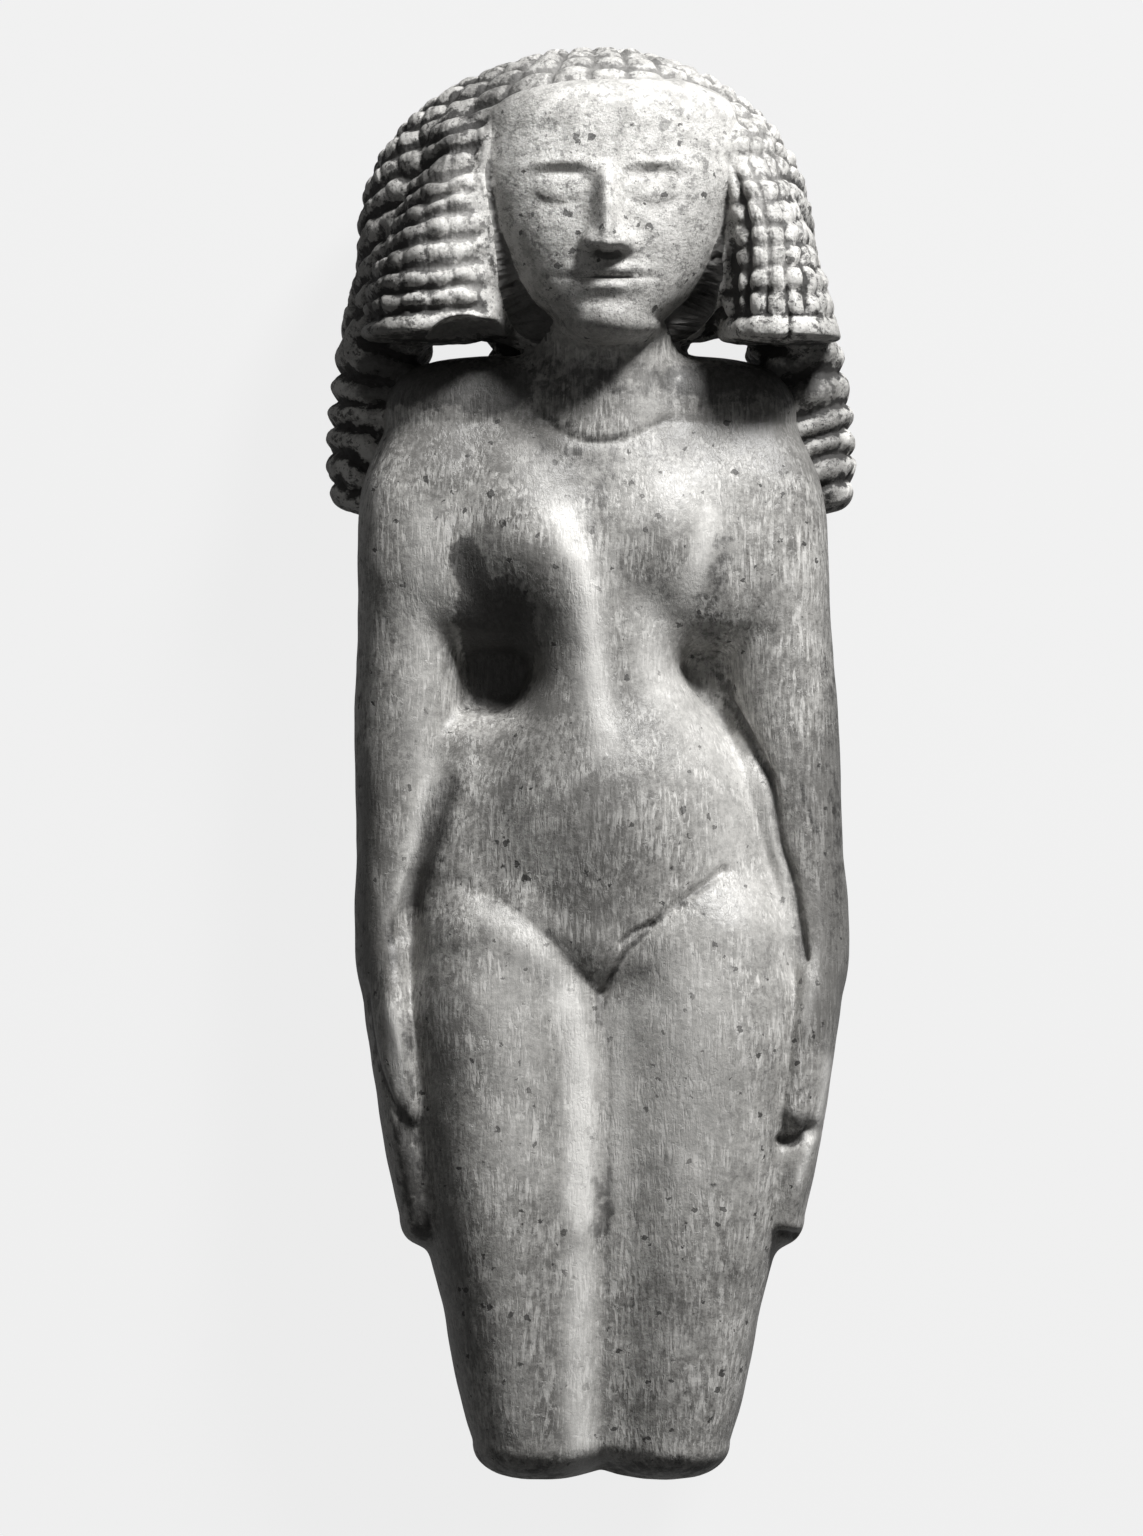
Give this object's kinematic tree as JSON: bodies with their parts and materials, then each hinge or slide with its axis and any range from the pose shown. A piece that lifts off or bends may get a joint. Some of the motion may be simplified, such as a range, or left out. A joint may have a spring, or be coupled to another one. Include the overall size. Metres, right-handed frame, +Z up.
{
  "type": "female figurine",
  "caption": "Small carved stone figurine of a standing woman in a heavy plaited wig, arms at the sides, ending at the knees, lying on its back.",
  "frame": {"origin": "middle of the underside of the bounding box, in the plane that the figure lies on", "axes": "+X to the viewer's right looking down at the face, +Y from the knees towards the top of the wig, +Z up, from the back to the face"},
  "size_m": [0.0486, 0.13, 0.0282],
  "materials": {
    "pale_stone": "worn satin polish with dark patina in the hollows"
  },
  "bodies": {
    "root": {"figurine": "pale_stone"}
  },
  "joints": []
}
